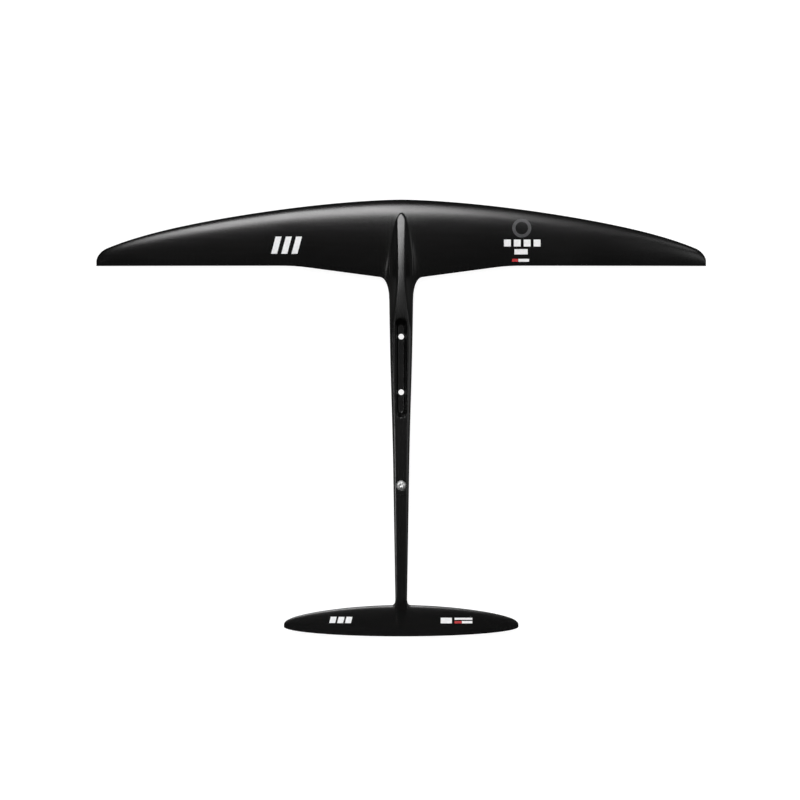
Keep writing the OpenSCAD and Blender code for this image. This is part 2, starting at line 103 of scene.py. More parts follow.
SPLIT_Z, SPLIT_REACH = 0.8, 90
SHOULDER_START, SHOULDER_SLOPE, SHOULDER_BLEND, DECK_POWER = 0.68, 0.3, 0.05, 26
SHOULDER_Y0, SHOULDER_Y1 = 50, 140
RIDGE_START_Y, RIDGE_REACH, RIDGE_END_DROP, RIDGE_POWER = 76, 153, 15.7, 1.75
RIDGE_TOP_HALF, RIDGE_CORNER, FLANK_POWER = 6.1, 0.12, 1.45
RIDGE_FULL_Y, RIDGE_TIP_Y, THINNEST_RIDGE = 150, 229, 0.01
RIDGE_TOP_SHARE, RIDGE_CROWN = 0.7, 0.018
STAB_THICKNESS, STAB_CAMBER, STAB_DROOP = 0.09, -0.018, 3
STAB_SWEEP, STAB_BOW, STAB_REAR_RISE = 29.6, 5.3, 14.7
STAB_FILLET_X, STAB_FILLET_Y = 6, 8
TAIL_RIDGE_END_Y, FADE_POWER = -404, 1.5
# Mast socket's floor and rim: front end, rear end, front radius, rear radius
SOCKET_FLOOR = (61.5, -73.8, 5.25, 4.8)
SOCKET_RIM = (70.6, -80.6, 9.1, 8.6)
WALL_WING, WALL_BODY, WALL_STAB = 1.2, 2.0, 0.9
INNER_SHARE = 0.84
TOUCH = 1e-6


def mix(a, b, t):
    return a + (b - a) * t


def ease(t):
    t = np.clip(t, 0, 1)
    return t * t * (3 - 2 * t)


def soft_max(a, b, k):
    """The larger of two heights, with a soft corner k wide."""
    k = np.maximum(k, TOUCH)
    h = np.maximum(k - abs(a - b), 0) / k
    return np.maximum(a, b) + h * h * k / 4


def foil(c):
    """Half thickness of an aerofoil section of thickness 1 at chord fraction c."""
    return 5 * (0.2969 * np.sqrt(c) - 0.126 * c - 0.3516 * c**2 + 0.2843 * c**3 - 0.1036 * c**4)


def fillet(d, a, b):
    """How far a superelliptic fillet of size a by b cuts back at distance d along a."""
    t = np.clip(d / a, 0, 1)
    return b * (1 - (1 - (1 - t) ** FILLET_POWER) ** (1 / FILLET_POWER))


# ---------------------------------------------------------------- the moulded surfaces
def wing_nose(x):
    u = np.clip(abs(x) / WING_HALF, 0, 1)
    t = np.clip((u - 1) * WING_HALF / TIP_ROUND_X + 1, 0, 1)
    return (WING_NOSE_Y - SWEEP * u**SWEEP_POWER - TIP_SWEEP * u**TIP_SWEEP_POWER
            - TIP_ROUND_Y * (1 - np.sqrt(1 - t * t)))


def wing_line(x):
    return WING_REAR_Y - KINK_SLOPE * soft_max(0, KINK_X - abs(x), KINK_BLEND)


def wing_rear(x):
    return wing_line(x) - fillet(np.maximum(abs(x) - HALF_ROOT, 0), FILLET_X, FILLET_Y)


FILLET_END_Y = float(wing_line(HALF_ROOT) - FILLET_Y)


def wing_c(x, y):
    """Chord fraction: up to the straight trailing edge ahead, up to the fillet's edge aft."""
    nose = wing_nose(x)
    c = np.clip((nose - y) / (nose - wing_line(x)), 0, 1)
    full = np.clip((nose - y) / (nose - np.maximum(wing_rear(x), FILLET_END_Y)), 0, 1)
    return mix(c, full, ease((c - ROOT_C_START) / ROOT_C_SPAN))


def wing_mid(x, y):
    u = np.clip(abs(x) / WING_HALF, 0, 1)
    c = wing_c(x, y)
    chord = wing_nose(x) - wing_line(x)
    return (ROOT_Z - DROOP * u**DROOP_POWER - TIP_CURL * u**TIP_CURL_POWER
            + CAMBER * chord * 4 * c * (1 - c))


def wing_depth(x, y):
    return (WING_THICKNESS * (wing_nose(x) - wing_line(x)) + EDGE) * foil(wing_c(x, y))


def body_half(y):
    f = np.clip((FILLET_END_Y - y) / (FILLET_END_Y - JOINT_Y), 0, 1)
    front = mix(HALF_ROOT, HALF_JOINT, f) + BODY_BULGE * np.sin(2 * np.pi * f)
    boom = mix(HALF_JOINT, HALF_TAIL, np.clip((JOINT_Y - y) / (JOINT_Y - STAB_NOSE_Y), 0, 1))
    return np.where(y < JOINT_Y, boom, front)


def aft(y):
    return np.clip((-FLAT_HALF - y) / BLEND_REACH, 0, 2) ** AFT_POWER


def fore(y):
    return np.clip((y - RIDGE_START_Y) / RIDGE_REACH, 0, 1)


def deck(y):
    return DECK_Z - DECK_FALL * aft(y) - RIDGE_END_DROP * fore(y) ** RIDGE_POWER


def belly(y):
    return BELLY_Z + BELLY_AFT_RISE * aft(y) + BELLY_NOSE_RISE * fore(y) ** 2


def parting(y):
    rear = SPLIT_Z * np.clip((y - STAB_NOSE_Y) / -STAB_NOSE_Y, 0, 1)
    return mix(ROOT_Z, rear, ease((FILLET_END_Y - y) / SPLIT_REACH))


def ridge_half(y):
    t = np.clip((y - RIDGE_FULL_Y) / (RIDGE_TIP_Y - RIDGE_FULL_Y), 0, 1)
    return body_half(y) * np.sqrt(1 - t * t)


def section(f, y, sign):
    """Height of the fuselage section at half-width fraction f, as a share of its height."""
    g = np.clip(abs(f), 0, 1)
    if sign < 0:
        return np.sqrt(1 - g**BELLY_POWER)
    nose = ease((y - SHOULDER_Y0) / (SHOULDER_Y1 - SHOULDER_Y0))
    top_half = mix(SHOULDER_START * body_half(y), RIDGE_TOP_HALF, nose)
    start = np.minimum(RIDGE_TOP_SHARE, top_half / np.maximum(ridge_half(y), THINNEST_RIDGE))
    shoulder = 1 - SHOULDER_SLOPE * soft_max(0, g - start, SHOULDER_BLEND)
    deck_part = shoulder * np.sqrt(1 - g**DECK_POWER)
    slope = soft_max(0, g - start, RIDGE_CORNER) / (1 - start)
    crown = 1 - RIDGE_CROWN * np.minimum(1, g / start) ** 2
    return mix(deck_part, crown * np.clip(1 - slope, 0, 1) ** FLANK_POWER, nose)


def front_mid(x, y):
    return np.where(y > FILLET_END_Y, wing_mid(x, y), parting(y))


def front_z(x, y, sign, inner=False):
    """Outer or inner surface of the front moulding, above (1) or below (-1) its parting line."""
    mid = front_mid(x, y)
    on_wing = y > FILLET_END_Y
    w = ridge_half(y) * (INNER_SHARE if inner else 1)
    depth = np.where(on_wing, wing_depth(x, y), 0)
    wing = depth - np.where(inner & (depth > 0), WALL_WING, 0)
    end = deck(y) if sign > 0 else belly(y)
    reach = (end - parting(y)) * sign - (WALL_BODY if inner else 0)
    on_ridge = (w > THINNEST_RIDGE) & (abs(x) <= w + TOUCH)
    share = np.where(on_ridge, section(x / np.maximum(w, THINNEST_RIDGE), y, sign), 0)
    lift_off = (parting(y) - mid) * sign
    if sign > 0:
        height = wing + np.maximum(0, lift_off + reach - wing) * share
    else:
        ridge = np.where(share > 0, lift_off + reach * share, -100)
        height = soft_max(wing, ridge, np.minimum(BLEND, 2 * depth))
    return mid + sign * np.maximum(0, height)


def stab_nose(x):
    v = np.clip(abs(x) / STAB_HALF, 0, 1)
    drop = 1 - np.sqrt(1 - v * v)
    return (STAB_NOSE_Y - STAB_SWEEP * drop - STAB_BOW * v * v * (1 - v * v)
            + fillet(np.maximum(abs(x) - HALF_TAIL, 0), STAB_FILLET_X, STAB_FILLET_Y))


def stab_rear(x):
    v = np.clip(abs(x) / STAB_HALF, 0, 1)
    return STAB_REAR_Y + STAB_REAR_RISE * (1 - np.sqrt(1 - v * v))


BOOM_END_Y = float(stab_nose(HALF_TAIL))


def stab_c(x, y):
    nose = np.minimum(stab_nose(x), BOOM_END_Y)
    return np.clip((nose - y) / (nose - stab_rear(x)), 0, 1)


def tail_mid(x, y):
    c = stab_c(x, y)
    chord = stab_nose(x) - stab_rear(x)
    droop = -STAB_DROOP * np.clip(abs(x) / STAB_HALF, 0, 1) ** 2
    stab = droop + STAB_CAMBER * chord * 4 * c * (1 - c)
    return np.where(y > BOOM_END_Y, parting(y), stab)


def tail_z(x, y, sign, inner=False):
    """Outer or inner surface of the tail moulding, above (1) or below (-1) its parting line."""
    mid = tail_mid(x, y)
    on_stab = y < BOOM_END_Y
    fade = np.clip((BOOM_END_Y - y) / (BOOM_END_Y - TAIL_RIDGE_END_Y), 0, 1)
    w = np.maximum(body_half(y) * np.sqrt(1 - fade**2) * (INNER_SHARE if inner else 1), 1e-3)
    chord = stab_nose(x) - stab_rear(x)
    depth = np.where(on_stab, foil(stab_c(x, y)) * (STAB_THICKNESS * chord + EDGE), 0)
    end = deck(y) if sign > 0 else belly(y)
    reach = (end - parting(y)) * sign * (1 - fade**FADE_POWER) - (WALL_BODY if inner else 0)
    ridge = np.where(abs(x) <= w + TOUCH, reach * section(x / w, y, sign), -100)
    stab = depth - (WALL_STAB if inner else 0)
    height = np.where(on_stab, soft_max(stab, ridge, np.minimum(BLEND / 2, 2 * depth)), ridge)
    return mid + sign * np.maximum(0, height)


# ---------------------------------------------------------------- mesh helpers
WELD_M, SLIVER_M = 1e-7, 1e-8
SHUT_MM = 1e-5


def finish_mesh(name, verts, faces, material, smooth_angle=35):
    """Makes an object from mm vertices, with outward normals and edges split by angle."""
    mesh = bpy.data.meshes.new(name)
    mesh.from_pydata([tuple(v * MM for v in p) for p in verts], [], faces)
    bm = bmesh.new()
    bm.from_mesh(mesh)
    bmesh.ops.remove_doubles(bm, verts=bm.verts, dist=WELD_M)
    bmesh.ops.dissolve_degenerate(bm, edges=bm.edges, dist=SLIVER_M)
    bmesh.ops.recalc_face_normals(bm, faces=bm.faces)
    bm.to_mesh(mesh)
    bm.free()
    obj = bpy.data.objects.new(name, mesh)
    bpy.context.scene.collection.objects.link(obj)
    mesh.materials.append(material)
    mesh.shade_smooth()
    mesh.set_sharp_from_angle(angle=math.radians(smooth_angle))
    return obj


def both(values):
    """Mirrors half stations that start with 0 into a full row from port to starboard."""
    values = np.asarray(values, float)
    return np.concatenate([-values[:0:-1], values])


def patch(rows):
    """A patch of the plan: rows of [x, y] points, all of one length."""
    return np.array(rows, float)


def merge(patches):
    """Joins patches of [x, y, z] that share edge points into one list of points and quads."""
    index, points, quads = {}, [], []

    def point(p):
        key = (round(float(p[0]), 4), round(float(p[1]), 4))
        if key not in index:
            index[key] = len(points)
            points.append([float(v) for v in p])
        return index[key]

    for rows in patches:
        ids = [[point(p) for p in row] for row in rows]
        for a, b in zip(ids, ids[1:]):
            for i in range(len(a) - 1):
                quad = [a[i], a[i + 1], b[i + 1], b[i]]
                quad = [q for k, q in enumerate(quad) if q != quad[k - 1]]
                if len(quad) < 3:
                    continue
                area = sum(points[p][0] * points[q][1] - points[q][0] * points[p][1]
                           for p, q in zip(quad, quad[1:] + quad[:1]))
                quads.append(quad if area > 0 else quad[::-1])
    return np.array(points), quads


def plan_solid(name, patches, lower, material, smooth_angle=35):
    """A closed solid between patches of [x, y, z] and a lower surface of x and y."""
    points, quads = merge(patches)
    x, y, top = points.T
    low = np.minimum(lower(x, y), top)
    n = len(points)
    under = [i if top[i] - low[i] < SHUT_MM else n + i for i in range(n)]
    verts = list(zip(x, y, top)) + list(zip(x, y, low))
    faces = [list(q) for q in quads]
    for q in quads:
        low_face = [under[i] for i in reversed(q)]
        if set(low_face) != set(q):
            faces.append(low_face)
    edges = {(a, b) for q in quads for a, b in zip(q, q[1:] + q[:1])}
    for a, b in sorted(edges):
        if (b, a) not in edges:
            side = [b, a, under[a], under[b]]
            side = [s for k, s in enumerate(side) if s != side[k - 1]]
            if len(set(side)) >= 3:
                faces.append(side)
    return finish_mesh(name, verts, faces, material, smooth_angle)


def loops_solid(name, loops, material, smooth_angle=35):
    """A closed solid skinned over loops of equal length, capped at both ends."""
    n = len(loops[0])
    verts = [p for loop in loops for p in loop]
    faces = [list(range(n)), list(range((len(loops) - 1) * n, len(loops) * n))[::-1]]
    for k in range(len(loops) - 1):
        for i in range(n):
            j = (i + 1) % n
            faces.append([k * n + i, k * n + j, (k + 1) * n + j, (k + 1) * n + i])
    return finish_mesh(name, verts, faces, material, smooth_angle)


# Stations across the half fuselage, close together where the side turns down
BODY_F = np.concatenate([np.linspace(0, 0.88, 37), [0.9, 0.92, 0.94, 0.955, 0.968, 0.98, 0.989,
                         0.995, 1.0]])
# Rings around a hole, from its edge at 0 to the fuselage's outline at 1
RING_SHARES = np.concatenate([[0, 0.02, 0.05, 0.1, 0.17], np.linspace(0.25, 0.9, 12),
                              [0.93, 0.955, 0.975, 0.99, 1]])


def body_patch(y0, y1, n):
    """The plan of the fuselage between two values of y."""
    return patch([[(f * float(body_half(y)), y) for f in both(BODY_F)]
                  for y in np.linspace(y0, y1, n + 1)])


def hole_patch(y0, y1, n, hole):
    """The plan of the fuselage between y0 and y1 around a hole, as rings from it."""
    fs = both(BODY_F)
    ys = np.linspace(y0, y1, n + 1)
    rim = [(f * float(body_half(y0)), y0) for f in fs]
    rim += [(float(body_half(y)), y) for y in ys[1:-1]]
    rim += [(f * float(body_half(y1)), y1) for f in fs[::-1]]
    rim += [(-float(body_half(y)), y) for y in ys[-2:0:-1]]
    rim.append(rim[0])
    return patch([[mix(np.array(hole(*p)), np.array(p), s) for p in rim]
                  for s in RING_SHARES])


def slot_outline(grow, z_share=1.0):
    """Maps a point to the mast pocket's outline at a share of its depth, grown outwards."""
    front, rear, front_r, rear_r = (
        mix(low, high, z_share) for low, high in zip(SOCKET_FLOOR, SOCKET_RIM))

    def hole(x, y):
        top, low = front - front_r, rear + rear_r
        if low < y < top:
            r = mix(rear_r, front_r, (y - low) / (top - low)) + grow
            return (math.copysign(r, x), y)
        centre, r = (top, front_r) if y >= top else (low, rear_r)
        dx, dy = x, y - centre
        length = math.hypot(dx, dy)
        return (dx / length * (r + grow), centre + dy / length * (r + grow))
    return hole


def circle_outline(centre_y, radius):
    """Maps a point to the nearest point of a circle on the centreline."""
    def hole(x, y):
        length = math.hypot(x, y - centre_y)
        return (x / length * radius, centre_y + (y - centre_y) / length * radius)
    return hole


def ring_z(rings, surface, rim=0.0):
    """Lifts rings that start at a hole onto a surface, with a round edge of radius rim there."""
    hole = rings[0]
    lifted = []
    for ring in rings:
        away = np.hypot(ring[:, 0] - hole[:, 0], ring[:, 1] - hole[:, 1])
        t = np.clip(rim - away, 0, None)
        drop = rim - np.sqrt(np.clip(rim * rim - t * t, 0, None))
        lifted.append(np.column_stack([ring, surface(ring[:, 0], ring[:, 1]) - drop]))
    return np.array(lifted)


def lathe(name, rings, centre_y, material, sides=96, smooth_angle=30):
    """A closed ring, turned round the vertical line at centre_y from a profile of [r, z]."""
    verts, faces = [], []
    n = len(rings)
    for k in range(sides):
        a = 2 * math.pi * k / sides
        verts += [(r * math.cos(a), centre_y + r * math.sin(a), z) for r, z in rings]
    for k in range(sides):
        for i in range(n):
            a, b = k * n, (k + 1) % sides * n
            j = (i + 1) % n
            faces.append([a + i, b + i, b + j, a + j])
    return finish_mesh(name, verts, faces, material, smooth_angle)


def place(piece, body, slot, *nodes):
    """Rides a piece on its body, in place of the CAD nodes it stands for."""
    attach(piece, body)
    if nodes:
        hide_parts(*nodes)
    return piece


# ---------------------------------------------------------------- materials
class Surface:
    """Builds one procedural material around a Principled shader."""

    def __init__(self, name, metallic=0.0, specular=0.5):
        self.material = bpy.data.materials.new(name)
        self.material.use_nodes = True
        self.tree = self.material.node_tree
        self.shader = self.tree.nodes["Principled BSDF"]
        self.shader.inputs["Metallic"].default_value = metallic
        self.shader.inputs["Specular IOR Level"].default_value = specular
        self.coords = self.tree.nodes.new("ShaderNodeTexCoord").outputs["Object"]

    def link(self, value, socket):
        if isinstance(value, bpy.types.NodeSocket):
            self.tree.links.new(value, socket)
        else:
            socket.default_value = value

    def scaled(self, scale, angle=0.0):
        node = self.tree.nodes.new("ShaderNodeMapping")
        node.inputs["Scale"].default_value = scale
        node.inputs["Rotation"].default_value = (0, 0, angle)
        self.tree.links.new(self.coords, node.inputs["Vector"])
        return node.outputs["Vector"]

    def noise(self, scale, detail=3.0, vector=None):
        node = self.tree.nodes.new("ShaderNodeTexNoise")
        node.inputs["Scale"].default_value = scale
        node.inputs["Detail"].default_value = detail
        self.tree.links.new(vector or self.coords, node.inputs["Vector"])
        return node.outputs["Fac"]

    def cells(self, scale):
        node = self.tree.nodes.new("ShaderNodeTexVoronoi")
        node.inputs["Scale"].default_value = scale
        self.tree.links.new(self.coords, node.inputs["Vector"])
        return node.outputs["Distance"]

    def math(self, kind, a, b=0.0):
        node = self.tree.nodes.new("ShaderNodeMath")
        node.operation = kind
        self.link(a, node.inputs[0])
        self.link(b, node.inputs[1])
        return node.outputs[0]

    def ramp(self, value, low, high, start=0.0, end=1.0):
        """Maps a pattern from start..end to two greys, colours or amounts."""
        node = self.tree.nodes.new("ShaderNodeValToRGB")
        for element, place_, colour in zip(node.color_ramp.elements, (start, end), (low, high)):
            element.position = place_
            grey = isinstance(colour, (int, float))
            element.color = (colour,) * 3 + (1,) if grey else tuple(colour) + (1,)
        self.tree.links.new(value, node.inputs["Fac"])
        return node.outputs["Color"]

    def twill(self, pitch):
        """Height and mask of a 2 by 2 twill weave of tows pitch metres wide."""
        split = self.tree.nodes.new("ShaderNodeSeparateXYZ")
        self.tree.links.new(self.scaled((1 / pitch,) * 3, math.pi / 4), split.inputs[0])
        u, v = split.outputs["X"], split.outputs["Y"]
        cell = self.math("ADD", self.math("FLOOR", u), self.math("FLOOR", v))
        over = self.math("LESS_THAN", self.math("FLOORED_MODULO", cell, 4.0), 2.0)
        across = self.math("ABSOLUTE", self.math("SINE", self.math("MULTIPLY", v, math.pi)))
        along = self.math("ABSOLUTE", self.math("SINE", self.math("MULTIPLY", u, math.pi)))
        node = self.tree.nodes.new("ShaderNodeMix")
        self.link(over, node.inputs["Factor"])
        self.link(across, node.inputs["A"])
        self.link(along, node.inputs["B"])
        return node.outputs["Result"], over

    def bump(self, height, distance, strength, under=None):
        node = self.tree.nodes.new("ShaderNodeBump")
        node.inputs["Strength"].default_value = strength
        node.inputs["Distance"].default_value = distance
        self.tree.links.new(height, node.inputs["Height"])
        if under is not None:
            self.tree.links.new(under, node.inputs["Normal"])
        return node.outputs["Normal"]

    def done(self, colour, roughness, normal):
        self.link(colour, self.shader.inputs["Base Color"])
        self.link(roughness, self.shader.inputs["Roughness"])
        self.link(normal, self.shader.inputs["Normal"])
        return self.material


def satin_coat(name, dark, light, smooth, dull):
    """Black satin lacquer: faint weave underneath, slight waviness, fine grain and scuffs."""
    s = Surface(name)
    weave, over = s.twill(0.0022)
    cloud = s.noise(9, 4)
    grain = s.noise(1400, 2)
    scuffs = s.noise(60, 6, s.scaled((0.25, 3.0, 1.0), 0.35))
    tone = s.math("ADD", s.math("MULTIPLY", cloud, 0.8), s.math("MULTIPLY", over, 0.2))
    gloss = s.math("ADD", s.math("MULTIPLY", scuffs, 0.7), s.math("MULTIPLY", cloud, 0.3))
    normal = s.bump(weave, 0.00001, 0.10)
    normal = s.bump(grain, 0.00001, 0.16, normal)
    return s.done(s.ramp(tone, dark, light, 0.3, 0.8), s.ramp(gloss, smooth, dull, 0.35, 0.8),
                  normal)


def bare_carbon():
    s = Surface("carbon_twill")
    weave, over = s.twill(0.002)
    fibres = s.noise(500, 3, s.scaled((1.0, 14.0, 1.0), math.pi / 4))
    tone = s.math("ADD", s.math("MULTIPLY", over, 0.5), s.math("MULTIPLY", fibres, 0.5))
    return s.done(s.ramp(tone, 0.012, 0.05), s.ramp(fibres, 0.28, 0.5),
                  s.bump(weave, 0.00015, 0.6))


def closed_foam():
    s = Surface("closed_cell_foam")
    cells = s.cells(900)
    cloud = s.noise(40, 4)
    return s.done(s.ramp(cloud, (0.62, 0.55, 0.38), (0.76, 0.70, 0.53), 0.3, 0.7),
                  s.ramp(cells, 0.95, 0.75), s.bump(cells, 0.0003, 0.7))


def stainless(name, smooth, dull):
    s = Surface(name, metallic=1.0)
    turned = s.noise(700, 3, s.scaled((1.0, 1.0, 6.0)))
    stains = s.noise(220, 4)
    return s.done(s.ramp(stains, 0.58, 0.74, 0.3, 0.7), s.ramp(turned, smooth, dull, 0.3, 0.7),
                  s.bump(turned, 0.00002, 0.3))


def nylon():
    s = Surface("nylon")
    grain = s.noise(1600, 3)
    cloud = s.noise(120, 2)
    return s.done(s.ramp(cloud, (0.60, 0.59, 0.54), (0.72, 0.71, 0.67)),
                  s.ramp(grain, 0.38, 0.55), s.bump(grain, 0.00003, 0.4))


def ink(name, dark, light):
    """Screen-printed ink: slightly uneven cover and fine wear."""
    s = Surface(name)
    cover = s.noise(260, 5)
    grain = s.noise(1800, 2)
    return s.done(s.ramp(cover, dark, light, 0.3, 0.62), s.ramp(grain, 0.34, 0.5),
                  s.bump(grain, 0.00001, 0.3))


COAT = satin_coat("satin_black_coat", 0.0028, 0.0046, 0.22, 0.28)
# The tail's coat is a darker copy of the same satin black coat: painted shade on the tail.
TAIL_COAT_PAINTED_SHADE = satin_coat("satin_black_coat_tail_painted_shade", 0.0018, 0.0032, 0.23, 0.29)
# The mast socket block's coat is a darker copy of the same satin black coat: painted shade in the
# socket's recess.
SOCKET_COAT_PAINTED_SHADE = satin_coat("socket_coat_painted_shade", 0.0014, 0.0030, 0.22, 0.28)
CARBON = bare_carbon()
FOAM = closed_foam()
STEEL = stainless("stainless_steel", 0.22, 0.38)
SCREW_STEEL = stainless("stainless_screw", 0.46, 0.62)
NYLON = nylon()
WHITE_INK = ink("white_ink", (0.78, 0.78, 0.79), (0.90, 0.90, 0.90))
GREY_INK = ink("grey_ink", (0.040, 0.040, 0.043), (0.058, 0.058, 0.062))
RED_INK = ink("red_ink", (0.40, 0.012, 0.015), (0.55, 0.02, 0.024))

# ---------------------------------------------------------------- front moulding
FRONT_BLOCK_Y, REAR_BLOCK_Y = span("mast_block", 1)[::-1]
SCREW_ZONE = 14
SCREW_ZONE_Y = SCREW_Y + SCREW_ZONE
RIM_ROUND = 0.7
RECESS_R, RECESS_ROUND = 7.6, 0.5
SEAT_R = 9.25
FILLET_STEPS, FILLET_SPREAD, WING_STEPS, CHORD_STEPS = 10, 1.5, 61, 96
NOSE_ROWS, BLOCK_ROWS, MID_ROWS, SCREW_ROWS, BELLY_ROWS, REAR_ROWS = 2, 60, 12, 16, 24, 18


def lift(rows, surface):
    """Gives a patch its heights on a surface."""
    flat = rows.reshape(-1, 2)
    z = surface(flat[:, 0], flat[:, 1])
    return np.column_stack([flat, z]).reshape(rows.shape[0], rows.shape[1], 3)


def front_plan():
    """The wing's plan as one patch, from the nose to the end of the trailing edge fillets."""
    fillet_xs = HALF_ROOT + FILLET_X * np.linspace(0, 1, FILLET_STEPS + 1)[1:] ** FILLET_SPREAD
    t = np.linspace(0, 1, WING_STEPS + 1)[1:]
    wing_xs = mix(HALF_ROOT + FILLET_X, WING_HALF, np.sin(np.pi / 2 * t))
    xs = both(np.concatenate([HALF_ROOT * BODY_F, fillet_xs, wing_xs]))
    ends = np.where(abs(xs) > HALF_ROOT + TOUCH, wing_rear(xs), FILLET_END_Y)
    shares = 1 - np.cos(np.pi / 2 * np.linspace(0, 1, CHORD_STEPS + 1))
    return patch([[(x, mix(float(wing_nose(x)), e, c)) for x, e in zip(xs, ends)]
                  for c in shares])


def outer_top(x, y):
    return front_z(x, y, 1)


def inner_top(x, y):
    return front_z(x, y, 1, True)


def outer_bottom(x, y):
    return front_z(x, y, -1)


def inner_bottom(x, y):
    return front_z(x, y, -1, True)


wing_plan = front_plan()
nose_body = body_patch(FILLET_END_Y, FRONT_BLOCK_Y, NOSE_ROWS)
mid_body = body_patch(REAR_BLOCK_Y, SCREW_ZONE_Y, MID_ROWS)
socket_rings = hole_patch(FRONT_BLOCK_Y, REAR_BLOCK_Y, BLOCK_ROWS, slot_outline(0))
screw_rings = hole_patch(SCREW_ZONE_Y, FRONT_END_Y, SCREW_ROWS,
                         circle_outline(SCREW_Y, RECESS_R))

upper_shell = plan_solid(
    "front_shell_upper",
    [lift(wing_plan, outer_top), lift(nose_body, outer_top), lift(mid_body, outer_top),
     ring_z(socket_rings, outer_top, RIM_ROUND), ring_z(screw_rings, outer_top, RECESS_ROUND)],
    inner_top, COAT)
place(upper_shell, "foil", "laminate", "front_skin_upper")

SPLIT_Y = 0.0
lower_shell = plan_solid(
    "front_shell_lower",
    [lift(p, inner_bottom) for p in (
        wing_plan, nose_body,
        hole_patch(FRONT_BLOCK_Y, SPLIT_Y, BELLY_ROWS,
                   circle_outline(MAST_HALF_PITCH, SEAT_R)),
        hole_patch(SPLIT_Y, REAR_BLOCK_Y, BELLY_ROWS,
                   circle_outline(-MAST_HALF_PITCH, SEAT_R)),
        body_patch(REAR_BLOCK_Y, FRONT_END_Y, REAR_ROWS))],
    outer_bottom, COAT)
place(lower_shell, "foil", "laminate", "front_skin_lower")

# ---------------------------------------------------------------- mast socket block
FLOOR_ROUND = 2.0
FITS = 0.1
HOLE_CHAMFER = 0.4
FLOOR_RINGS, FLOOR_CORNER, CORNER_STEPS = (-3.2, -2.0, -1.6), 1.6, 6
WALL_RING_ZS = (4.0, 7.0, 10.0, 12.0)
MOUTH_BEVEL_Z, MOUTH_BEVEL = 0.5, 0.35
MOUTH_SHARES = (0.2, 0.45, 0.7, 0.88, 0.96)
CUT_PAST = 2
CUT_ANGLE = math.radians(30)


def inner_outline(x, y):
    """The point of the fuselage's inside below a point of its outline."""
    return (x * INNER_SHARE, y)


def block_rings():
    """Rings of the block's top: the floor's middle line, floor, walls, rim, underside of deck."""
    edge = hole_patch(FRONT_BLOCK_Y, REAR_BLOCK_Y, BLOCK_ROWS, inner_outline)[0]
    rings = []

    def add(outline, height):
        ring = np.array([outline(*p) for p in edge])
        z = height(ring[:, 0], ring[:, 1]) if callable(height) else np.full(len(ring), height)
        rings.append(np.column_stack([ring, z]))

    low = SOCKET_FLOOR[1] + SOCKET_FLOOR[3]
    high = SOCKET_FLOOR[0] - SOCKET_FLOOR[2]
    add(lambda x, y: (0.0, min(max(y, low), high)), 0.0)
    for grow in FLOOR_RINGS:
        add(slot_outline(grow, 0.0), 0.0)
    for a in np.linspace(0.15, 1.0, CORNER_STEPS):
        turn = a * math.pi / 2
        rise = FLOOR_ROUND * (1 - math.cos(turn))
        add(slot_outline(-FLOOR_CORNER + FLOOR_CORNER * math.sin(turn), rise / DECK_Z), rise)
    for z in WALL_RING_ZS:
        add(slot_outline(0.0, z / DECK_Z), z)
    top_z = DECK_Z - WALL_BODY - FITS
    bevel_z = top_z - MOUTH_BEVEL_Z
    add(slot_outline(0.0, bevel_z / DECK_Z), bevel_z)

    def under_deck(x, y):
        return inner_top(x, y) - FITS

    rim = slot_outline(MOUTH_BEVEL, top_z / DECK_Z)
    add(rim, under_deck)
    for share in MOUTH_SHARES:
        add(lambda x, y, s=share: tuple(mix(np.array(rim(x, y)), np.array([x, y]), s)),
            under_deck)
    add(lambda x, y: (x, y), under_deck)
    return np.array(rings)


def cut(piece, cutters):
    """Takes the cutters out of a piece."""
    for cutter in cutters:
        change = piece.modifiers.new("cut", "BOOLEAN")
        change.operation = "DIFFERENCE"
        change.solver = "EXACT"
        change.object = cutter
    bpy.context.view_layer.update()
    solid = piece.evaluated_get(bpy.context.evaluated_depsgraph_get())
    mesh = bpy.data.meshes.new_from_object(solid)
    piece.modifiers.clear()
    piece.data = mesh
    mesh.set_sharp_from_angle(angle=CUT_ANGLE)
    for cutter in cutters:
        bpy.data.objects.remove(cutter)


def post(rings, centre_y, sides=72):
    """A solid turned round the vertical line at centre_y, from [r, z] pairs going up."""
    turns = [2 * math.pi * k / sides for k in range(sides)]
    loops = [[(r * math.cos(a), centre_y + r * math.sin(a), z) for a in turns]
             for r, z in rings]
    return loops_solid("cutter", loops, SOCKET_COAT_PAINTED_SHADE)


SEAT_LOW, SEAT_TOP = span("mast_bolt_seats", 2)
block = plan_solid("mast_socket_block", [block_rings()],
                   lambda x, y: inner_bottom(x, y) + FITS, SOCKET_COAT_PAINTED_SHADE)
through = [(SEAT_R, BELLY_Z - CUT_PAST), (SEAT_R, SEAT_TOP), (MAST_HOLE_R, SEAT_TOP),
           (MAST_HOLE_R, -HOLE_CHAMFER), (MAST_HOLE_R + 2 * HOLE_CHAMFER, HOLE_CHAMFER)]
cut(block, [post(through, side * MAST_HALF_PITCH) for side in (-1, 1)])
place(block, "foil", "solid_laminate", "mast_block")

